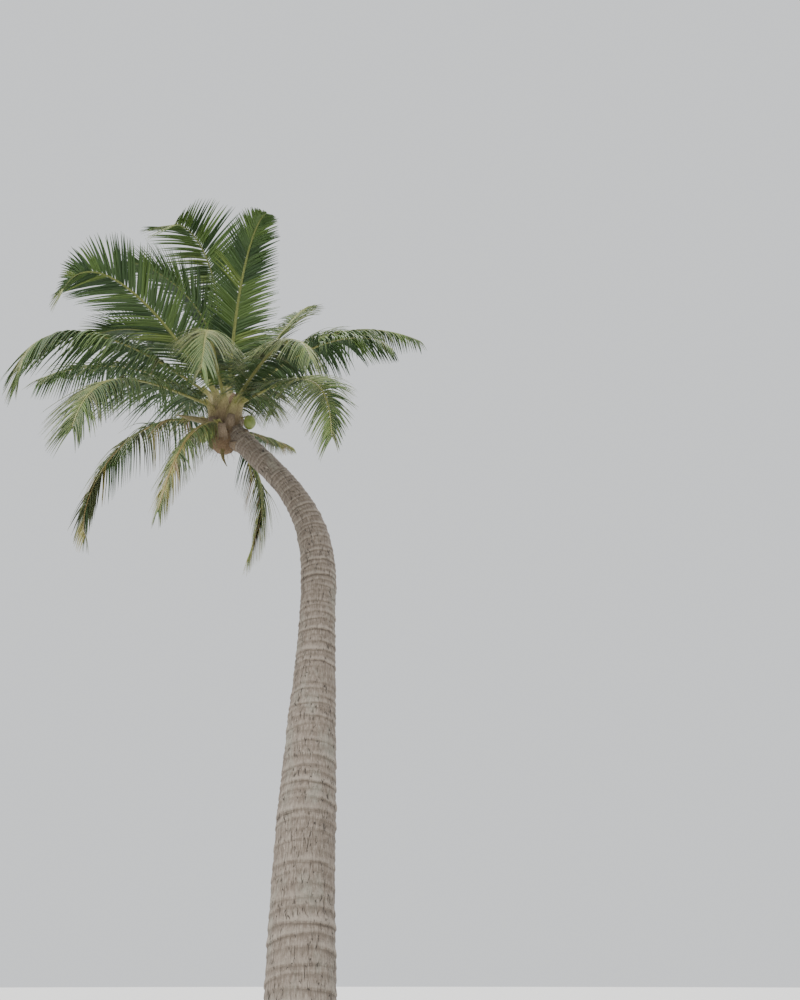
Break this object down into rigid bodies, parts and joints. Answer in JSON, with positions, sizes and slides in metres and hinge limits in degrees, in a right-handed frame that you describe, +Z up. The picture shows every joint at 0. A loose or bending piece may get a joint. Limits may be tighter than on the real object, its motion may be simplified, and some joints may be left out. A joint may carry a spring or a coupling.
{
  "type": "coconut palm tree",
  "caption": "Tall coconut palm with a leaning, tapering trunk that curves below its crown of arching and hanging fronds.",
  "frame": {"origin": "centre of the flat cut under the trunk, at ground level", "axes": "+Z up, +Y away from the picture's camera, +X to its right; the trunk leans towards -Y and curves to -X below the crown"},
  "size_m": [5.7467, 6.22, 10.9258],
  "materials": {
    "bark": "matte grey-brown bark with crescent leaf scars and upright cracks",
    "leaf_fibre": "matte brown fibre and leaf bases",
    "leaflet_green": "satin deep green leaflets",
    "rib_green": "satin yellow-green rib",
    "flower_sheath": "satin green-brown sheath with fine grooves",
    "nut_husk": "satin green husk"
  },
  "bodies": {
    "root": {"frond_01_inner": "leaflet_green", "frond_01_outer": "leaflet_green", "frond_02": "leaflet_green", "frond_03_inner": "leaflet_green", "frond_03_outer": "leaflet_green", "frond_04_inner": "leaflet_green", "frond_04_outer": "leaflet_green", "frond_05": "leaflet_green", "frond_06_inner": "leaflet_green", "frond_06_outer": "leaflet_green", "frond_07": "leaflet_green", "frond_08": "leaflet_green", "frond_09_inner": "leaflet_green", "frond_09_outer": "leaflet_green", "frond_10_inner": "leaflet_green", "frond_10_outer": "leaflet_green", "frond_11_inner": "leaflet_green", "frond_11_outer": "leaflet_green", "frond_12_inner": "leaflet_green", "frond_12_outer": "leaflet_green", "frond_13_inner": "leaflet_green", "frond_13_outer": "leaflet_green", "frond_14": "leaflet_green", "frond_15_inner": "leaflet_green", "frond_15_outer": "leaflet_green", "frond_16": "leaflet_green", "frond_17": "leaflet_green", "frond_18_inner": "leaflet_green", "frond_18_outer": "leaflet_green", "frond_19": "leaflet_green", "frond_20_inner": "leaflet_green", "frond_20_outer": "leaflet_green", "frond_21": "leaflet_green", "frond_22": "leaflet_green", "frond_23": "leaflet_green", "heart": "leaf_fibre", "nuts_left": "nut_husk", "nuts_right": "nut_husk", "spathe": "flower_sheath", "spear": "rib_green", "trunk": "bark"}
  },
  "joints": []
}
